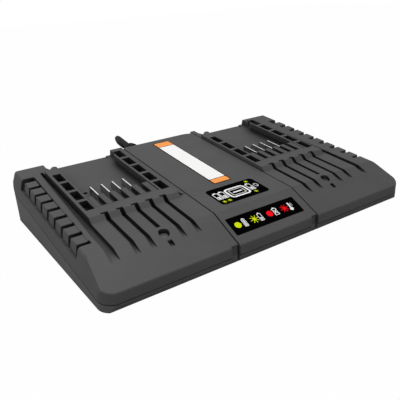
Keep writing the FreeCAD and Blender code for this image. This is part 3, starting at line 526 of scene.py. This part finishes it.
# Settings
class ChargerFinish(bpy.types.PropertyGroup):
    housing: bpy.props.FloatVectorProperty(
        name="Housing", description="Colour of the covers", subtype="COLOR", size=3, default=(0.058, 0.058, 0.060))
    base: bpy.props.FloatVectorProperty(
        name="Base", description="Colour of the lower shells", subtype="COLOR", size=3, default=(0.078, 0.078, 0.080))
    holder: bpy.props.FloatVectorProperty(
        name="Contact holder", description="Colour of the combs", subtype="COLOR", size=3,
        default=(0.051, 0.051, 0.053))
    housing_roughness: bpy.props.FloatProperty(
        name="Housing roughness", description="Roughness of the moulded plastic", default=0.55, min=0.0, max=1.0)
    cord: bpy.props.FloatVectorProperty(
        name="Cord", description="Colour of the cord's sheath", subtype="COLOR", size=3, default=(0.010, 0.010, 0.011))
    plate: bpy.props.FloatVectorProperty(
        name="Plate", description="Light colour of the long plate", subtype="COLOR", size=3,
        default=(0.96, 0.96, 0.955))
    orange: bpy.props.FloatVectorProperty(
        name="Orange", description="Colour of the plate's stripe", subtype="COLOR", size=3,
        default=(1.0, 0.352, 0.065))
    green: bpy.props.FloatVectorProperty(
        name="Yellow-green", description="Colour of the ready lights", subtype="COLOR", size=3,
        default=(0.68, 0.79, 0.0))
    red: bpy.props.FloatVectorProperty(
        name="Red", description="Colour of the fault lights", subtype="COLOR", size=3, default=(1.0, 0.0, 0.007))


class ChargerCord(bpy.types.PropertyGroup):
    diameter: bpy.props.FloatProperty(
        name="Diameter", description="Outer diameter of the cord", default=0.0045, unit="LENGTH")
    turns: bpy.props.FloatProperty(name="Turns", description="Turns in the put-away coil", default=10.14)
    pitch: bpy.props.FloatProperty(
        name="Pitch", description="Distance from turn to turn", default=0.00495, unit="LENGTH")
    core: bpy.props.FloatProperty(
        name="Core radius", description="Radius of the innermost turn", default=0.0134, unit="LENGTH")


class ChargerStudio(bpy.types.PropertyGroup):
    key: bpy.props.FloatProperty(
        name="Key light", description="Power of the large soft lamp", default=6.1, unit="POWER")
    fill: bpy.props.FloatProperty(name="Fill light", description="Power of the side lamp", default=0.55, unit="POWER")
    sky: bpy.props.FloatProperty(name="Sky", description="Strength of the even surrounding light", default=0.48)


# Operators
class CHARGER_OT_camera(bpy.types.Operator):
    """Camera at the photograph's viewing angle"""
    bl_idname = "charger.camera"
    bl_label = "Camera"

    def execute(self, context):
        yaw, pitch, roll = 0.581, 0.404, -0.052
        ahead = Vector((math.sin(yaw) * math.cos(pitch), math.cos(yaw) * math.cos(pitch), -math.sin(pitch)))
        right = Vector((math.cos(yaw), -math.sin(yaw), 0))
        up = right.cross(ahead)
        across = right * math.cos(roll) + up * math.sin(roll)
        upward = up * math.cos(roll) - right * math.sin(roll)
        camera = bpy.data.objects.new("camera", bpy.data.cameras.new("camera"))
        context.scene.collection.objects.link(camera)
        camera.matrix_world = Matrix((
            (across.x, upward.x, -ahead.x, -0.20905), (across.y, upward.y, -ahead.y, -0.30434),
            (across.z, upward.z, -ahead.z, 0.16547), (0, 0, 0, 1)))
        camera.data.lens = 44.64
        camera.data.sensor_width = 36.0
        camera.data.clip_start = 0.01
        context.scene.camera = camera
        return {"FINISHED"}


class CHARGER_OT_cord(bpy.types.Operator):
    """Cord from the strain relief down to the table and into its put-away coil"""
    bl_idname = "charger.cord"
    bl_label = "Cord"

    ROUTE = (
        (-22.9, 89.5, 36.4), (-22.2, 95.5, 36.5), (-21.4, 101.0, 36.6), (-20.2, 110.0, 36.7),
        (-18.0, 120.5, 36.3), (-15.0, 131.5, 34.7),
        (-11.3, 142.0, 31.3), (-6.6, 151.5, 26.0), (-0.6, 160.0, 19.4), (7.2, 165.6, 12.9),
        (16.6, 168.6, 7.9), (26.4, 168.0, 4.7), (34.6, 166.4, 3.4))
    CENTRE = (0.046, 0.1275)
    BOTTOM = 0.0031
    TAIL = 0.013

    def coil_point(self, degrees, cord):
        half = cord.turns * 180
        radius = cord.core + cord.pitch * abs(degrees - half) / 360
        climb = min(max((degrees - half + 90) / 180, 0), 1)
        height = self.BOTTOM + cord.pitch * (1 - math.cos(math.pi * climb)) / 2
        turn = math.radians(degrees)
        return Vector((self.CENTRE[0] + radius * math.sin(turn), self.CENTRE[1] + radius * math.cos(turn), height))

    def grommet(self, start, way):
        """Short moulded relief with a flange at the wall and two rings."""
        bm = bmesh.new()
        flange, sleeve, rings = (8.0, 2.0, 5.2, 5.2), (3.6, 9.0, 4.3, 3.0), ((4.2, 1.3, 4.8, 4.8), (1.8, 1.3, 4.4, 4.4))
        for back, depth, r1, r2 in (flange, sleeve, *rings):
            made = bmesh.ops.create_cone(bm, cap_ends=True, segments=32, radius1=r1 * MM, radius2=r2 * MM,
                                         depth=depth * MM)["verts"]
            turn = way.to_track_quat("Z", "Y").to_matrix().to_4x4()
            bmesh.ops.transform(bm, verts=made, matrix=Matrix.Translation(start - way * back * MM) @ turn)
        rims = [e for e in bm.edges if len(e.link_faces) == 2 and e.calc_face_angle(0) > 1.0]
        bmesh.ops.bevel(bm, geom=rims, offset=0.0003, offset_type="OFFSET", affect="EDGES", segments=2,
                        profile=0.5, material=-1)
        piece = add_piece("strain_relief_moulded", bm, "cord")
        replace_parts(piece, "strain_relief")
        return piece

    def execute(self, context):
        cord = context.scene.charger_cord
        points = [Vector(p) * MM for p in self.ROUTE]
        count = round(cord.turns * 16)
        grow = 1 / math.cos(math.pi * cord.turns / count)
        centre = Vector((*self.CENTRE, 0))
        for i in range(count + 1):
            at = self.coil_point(cord.turns * 360 * i / count, cord)
            flat = Vector((at.x, at.y, 0)) - centre
            if 0 < i < count:
                flat *= (1 + grow) / 2
            points.append(Vector((centre.x + flat.x, centre.y + flat.y, at.z)))
        last = math.radians(cord.turns * 360)
        way = Vector((math.cos(last), -math.sin(last), 0))
        points += [points[-1] + way * self.TAIL * 0.5, points[-1] + way * self.TAIL]
        curve = bpy.data.curves.new("cord", "CURVE")
        curve.dimensions = "3D"
        curve.bevel_depth = cord.diameter / 2
        curve.bevel_resolution = 5
        curve.resolution_u = 5
        curve.use_fill_caps = True
        spline = curve.splines.new("NURBS")
        spline.points.add(len(points) - 1)
        for point, place in zip(spline.points, points):
            point.co = (*place, 1.0)
        spline.order_u = 3
        spline.use_endpoint_u = True
        piece = bpy.data.objects.new("cord", curve)
        context.scene.collection.objects.link(piece)
        curve.materials.append(finish("cord"))
        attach(piece, "root")
        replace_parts(piece, "cord_lead", "cord_coil")
        grommet = self.grommet(points[0], (points[1] - points[0]).normalized())
        return {"FINISHED"}


class CHARGER_OT_finishes(bpy.types.Operator):
    """Gives every carried-over piece its finish"""
    bl_idname = "charger.finishes"
    bl_label = "Finishes"

    def execute(self, context):
        for name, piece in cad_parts.items():
            if name.endswith("_cover"):
                kind = "housing"
            elif name.endswith("_base"):
                kind = "base"
            elif name.endswith("_contact_holder"):
                kind = "holder"
            elif "_blade_" in name:
                kind = "contact"
            elif "screw" in name:
                kind = "screw"
            elif name.endswith("_feet"):
                kind = "foot"
            elif name in ("strain_relief", "plug_body", "coil_tie", "cord_lead", "cord_coil"):
                kind = "cord"
            elif name == "plug_pins":
                kind = "pin"
            elif name == "name_plate":
                kind = "label"
            elif name.endswith("_label"):
                kind = "label"
            elif name.endswith("board"):
                kind = "board"
            elif name == "choke":
                kind = "winding"
            elif name == "heatsink":
                kind = "heatsink"
            elif name == "light_pipes":
                kind = "lens"
            else:
                kind = "component"
            piece.data.materials.clear()
            piece.data.materials.append(finish(kind))
        return {"FINISHED"}


class CHARGER_OT_covers(bpy.types.Operator):
    """Covers with steep grip ribs, groove pockets and open seams"""
    bl_idname = "charger.covers"
    bl_label = "Covers"

    def execute(self, context):
        for name, side, dx in (("left", -1, 0.0), ("right", 1, BAY_PITCH / MM)):
            carved(name + "_cover", [
                lambda bm: grip_cutters(bm, side), lambda bm: gap_cutters(bm, side, *GAP_INNER),
                lambda bm: gap_cutters(bm, side, *GAP_OUTER),
                lambda bm: deck_cutters(bm, dx), lambda bm: seam_cutters(bm, name)])
            self.screw(name, dx)
        carved("centre_cover", [lambda bm: seam_cutters(bm, "centre")])
        return {"FINISHED"}

    def screw(self, name, dx):
        """Pan-headed deck screw with a round driver recess."""
        bm = bmesh.new()
        for radius, low, high in ((1.5, 4.0, 11.6), (3.1, 11.6, 14.6)):
            made = bmesh.ops.create_cone(bm, cap_ends=True, segments=32, radius1=radius * MM, radius2=radius * MM,
                                         depth=(high - low) * MM)["verts"]
            bmesh.ops.translate(bm, verts=made, vec=(
                (dx + DECK_SCREW[0]) * MM, DECK_SCREW[1] * MM, (low + high) / 2 * MM))
        bmesh.ops.transform(bm, verts=bm.verts, matrix=SLOPED)
        top = max(bm.faces, key=lambda f: f.calc_center_median().z)
        bmesh.ops.bevel(bm, geom=list(top.edges), offset=0.0009, offset_type="OFFSET", affect="EDGES", segments=4,
                        profile=0.5, material=-1)
        top = max(bm.faces, key=lambda f: f.calc_center_median().z)
        bmesh.ops.inset_individual(bm, faces=[top], thickness=0.001)
        bmesh.ops.translate(bm, verts=top.verts, vec=(0, 0, -0.0014))
        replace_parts(add_piece(name + "_deck_screw_head", bm, "screw"), name + "_deck_screw")


class CHARGER_OT_plate(bpy.types.Operator):
    """Plain light plate with a coloured stripe on the centre unit"""
    bl_idname = "charger.plate"
    bl_label = "Plate"

    def execute(self, context):
        top = top_plane(0.0001)
        k = math.sqrt(1 + SLOPE * SLOPE)
        x0, x1, y0, y1 = -8.9, 5.7, -20.8 * k, 70.3 * k
        band = y1 - 9.0
        ink("plate_print", [
            ("white", [rounded_outline(x0, x1, y0 + 7.2, band - 0.7, 0.7)]),
            ("orange", [rounded_outline(x0, x1, band, y1, 0.7), rounded_outline(x0, x1, y0, y0 + 6.5, 0.7)]),
        ], top)
        return {"FINISHED"}


class CHARGER_OT_display(bpy.types.Operator):
    """Printed symbols on the dark panels of the centre unit"""
    bl_idname = "charger.display"
    bl_label = "Display symbols"

    def execute(self, context):
        k = math.sqrt(1 + SLOPE * SLOPE)
        bm = bmesh.new()
        flat_shape(bm, rounded_outline(-23.6, 19.7, -51.2 * k, -27.7 * k, 3.2), top_plane(-0.0004), 0.00046)
        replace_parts(add_piece("display_label_rounded", bm, "label"), "display_label")
        top = top_plane(0.0001)
        white, green = [], []
        for cx, bars in ((-19.6, 2), (-14.7, 2), (10.2, 2)):
            white += battery_shapes(cx, -39.2 * k, 4.5, 9.4, bars)
        white += frame_shapes(-11.4, 6.6, -46.6 * k, -33.2 * k, 3.0, 1.5)
        white += frame_shapes(-8.4, 3.6, -43.9 * k, -35.9 * k, 1.3, 0.55)
        white.append(rounded_outline(-6.4, 1.6, -40.6 * k, -39.2 * k, 0.3))
        white += frame_shapes(14.2, 17.2, -41.4 * k, -36.6 * k, 1.2, 0.45)
        for cx, cy in ((-19.8, -47.6), (-15.2, -47.6), (9.6, -46.8), (12.6, -31.0)):
            green += burst_shapes(cx, cy * k, 1.7, 8)
        ink("display_print", [("white", white), ("green", green)], top)

        front = front_plane(0.0001)
        mid = (slope_mm(-77.0) + slope_mm(-63.6)) / 2
        white, green, red = [], [], []
        green.append(disc_outline(-26.2, mid, 2.55))
        white += battery_shapes(-20.4, mid, 3.0, 6.6, 5, 5)
        green += burst_shapes(-12.0, mid, 3.3)
        white += battery_shapes(-6.6, mid, 3.2, 6.6, 2)
        red.append(disc_outline(1.7, mid, 2.55))
        white += warning_shapes(7.0, mid, 3.4, 6.4)
        red += burst_shapes(15.4, mid, 3.3)
        white += thermometer_shapes(20.8, mid, 7.4)
        ink("status_print", [("white", white), ("green", green), ("red", red)], front)
        return {"FINISHED"}


class CHARGER_OT_stage(bpy.types.Operator):
    """Pale floor, white surroundings and soft lamps"""
    bl_idname = "charger.stage"
    bl_label = "Studio"

    def lamp(self, context, name, place, size, power):
        data = bpy.data.lights.new(name, "AREA")
        data.size = size
        data.energy = power
        lamp = bpy.data.objects.new(name, data)
        context.scene.collection.objects.link(lamp)
        lamp.location = place
        lamp.rotation_euler = (Vector((0, 0, 0.02)) - Vector(place)).to_track_quat("-Z", "Y").to_euler()

    def execute(self, context):
        studio = context.scene.charger_studio
        scene = context.scene
        scene.view_settings.view_transform = "Standard"
        world = bpy.data.worlds.new("studio")
        scene.world = world
        world.use_nodes = True
        nodes, links = world.node_tree.nodes, world.node_tree.links
        nodes.clear()
        path = nodes.new("ShaderNodeLightPath")
        even = nodes.new("ShaderNodeBackground")
        even.inputs["Strength"].default_value = studio.sky
        white = nodes.new("ShaderNodeBackground")
        white.inputs["Color"].default_value = (1, 1, 1, 1)
        even.inputs["Color"].default_value = (1, 1, 1, 1)
        mix = nodes.new("ShaderNodeMixShader")
        out = nodes.new("ShaderNodeOutputWorld")
        links.new(path.outputs["Is Camera Ray"], mix.inputs[0])
        links.new(even.outputs[0], mix.inputs[1])
        links.new(white.outputs[0], mix.inputs[2])
        links.new(mix.outputs[0], out.inputs["Surface"])

        bm = bmesh.new()
        bmesh.ops.create_grid(bm, x_segments=1, y_segments=1, size=3.0)
        mesh = bpy.data.meshes.new("floor")
        bm.to_mesh(mesh)
        bm.free()
        floor = bpy.data.objects.new("floor", mesh)
        scene.collection.objects.link(floor)
        pale = bpy.data.materials.new("pale floor")
        pale.use_nodes = True
        nodes, links = pale.node_tree.nodes, pale.node_tree.links
        nodes.clear()
        path = nodes.new("ShaderNodeLightPath")
        diffuse = nodes.new("ShaderNodeBsdfDiffuse")
        diffuse.inputs["Color"].default_value = (0.45, 0.45, 0.45, 1)
        glow = nodes.new("ShaderNodeEmission")
        glow.inputs["Color"].default_value = (1, 1, 1, 1)
        share = nodes.new("ShaderNodeMath")
        share.operation = "MULTIPLY"
        share.inputs[1].default_value = 0.985
        mix = nodes.new("ShaderNodeMixShader")
        out = nodes.new("ShaderNodeOutputMaterial")
        links.new(path.outputs["Is Camera Ray"], share.inputs[0])
        links.new(share.outputs[0], mix.inputs[0])
        links.new(diffuse.outputs[0], mix.inputs[1])
        links.new(glow.outputs[0], mix.inputs[2])
        links.new(mix.outputs[0], out.inputs["Surface"])
        mesh.materials.append(pale)

        self.lamp(context, "key", (-0.12, 0.12, 1.0), 0.9, studio.key)
        self.lamp(context, "fill", (-0.9, -0.25, 0.45), 0.6, studio.fill)
        return {"FINISHED"}


class CHARGER_PT_panel(bpy.types.Panel):
    """Steps that build the charger's looks"""
    bl_idname = "CHARGER_PT_panel"
    bl_label = "Charger"
    bl_space_type = "VIEW_3D"
    bl_region_type = "UI"
    bl_category = "Charger"

    def draw(self, context):
        for operator in OPERATORS:
            self.layout.operator(operator.bl_idname)
        for name in ("charger_finish", "charger_cord", "charger_studio"):
            group = getattr(context.scene, name)
            box = self.layout.box()
            for key in group.bl_rna.properties.keys():
                if key not in ("rna_type", "name"):
                    box.prop(group, key)


GROUPS = (ChargerFinish, ChargerCord, ChargerStudio)
OPERATORS = (CHARGER_OT_camera, CHARGER_OT_finishes, CHARGER_OT_covers, CHARGER_OT_cord, CHARGER_OT_plate,
             CHARGER_OT_display, CHARGER_OT_stage)


def register():
    for cls in (*GROUPS, *OPERATORS, CHARGER_PT_panel):
        bpy.utils.register_class(cls)
    bpy.types.Scene.charger_finish = bpy.props.PointerProperty(type=ChargerFinish)
    bpy.types.Scene.charger_cord = bpy.props.PointerProperty(type=ChargerCord)
    bpy.types.Scene.charger_studio = bpy.props.PointerProperty(type=ChargerStudio)


def unregister():
    del bpy.types.Scene.charger_finish
    del bpy.types.Scene.charger_cord
    del bpy.types.Scene.charger_studio
    for cls in reversed((*GROUPS, *OPERATORS, CHARGER_PT_panel)):
        bpy.utils.unregister_class(cls)


def main():
    register()
    bpy.ops.charger.camera()
    bpy.ops.charger.finishes()
    bpy.ops.charger.covers()
    bpy.ops.charger.cord()
    bpy.ops.charger.plate()
    bpy.ops.charger.display()
    bpy.ops.charger.stage()


if __name__ == "__main__":
    main()
